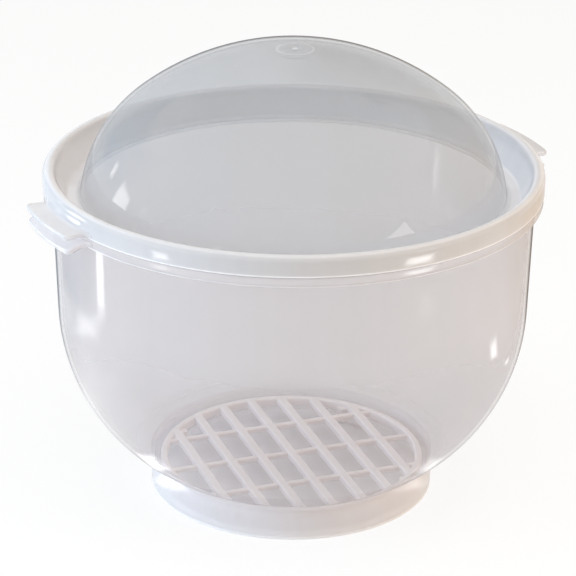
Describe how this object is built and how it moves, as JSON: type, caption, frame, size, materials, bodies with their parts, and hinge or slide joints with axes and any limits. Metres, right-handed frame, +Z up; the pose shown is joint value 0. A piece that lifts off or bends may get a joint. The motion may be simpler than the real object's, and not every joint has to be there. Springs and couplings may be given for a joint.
{
  "type": "lettuce keeper",
  "caption": "Round see-through keeper for a whole head of leaf vegetable: footed bowl with lift tabs, dome lid that snaps over its rim and a loose barred drain rack in the well inside its foot.",
  "frame": {"origin": "centre of the foot, on the surface that the keeper stands on", "axes": "+Z up along the axis of the bowl and lid, +X along the line through the two pairs of lift tabs"},
  "size_m": [0.24, 0.22, 0.2054],
  "materials": {
    "bowl_plastic": "clear moulded plastic, slightly hazy, glossy",
    "lid_plastic": "clear moulded plastic, slightly hazy, glossy, milkier at the rolled rim",
    "rack_plastic": "milky moulded plastic, satin"
  },
  "bodies": {
    "bowl": {"bowl": "bowl_plastic"},
    "lid": {"lid": "lid_plastic"},
    "drain_rack": {"drain_rack": "rack_plastic"}
  },
  "joints": [
    {"name": "lid_lift", "type": "slide", "parent": "bowl", "child": "lid", "axis": [0, 0, 1], "range_m": [0, 0.2]},
    {"name": "rack_lift", "type": "slide", "parent": "bowl", "child": "drain_rack", "axis": [0, 0, 1], "range_m": [0, 0.15]}
  ]
}
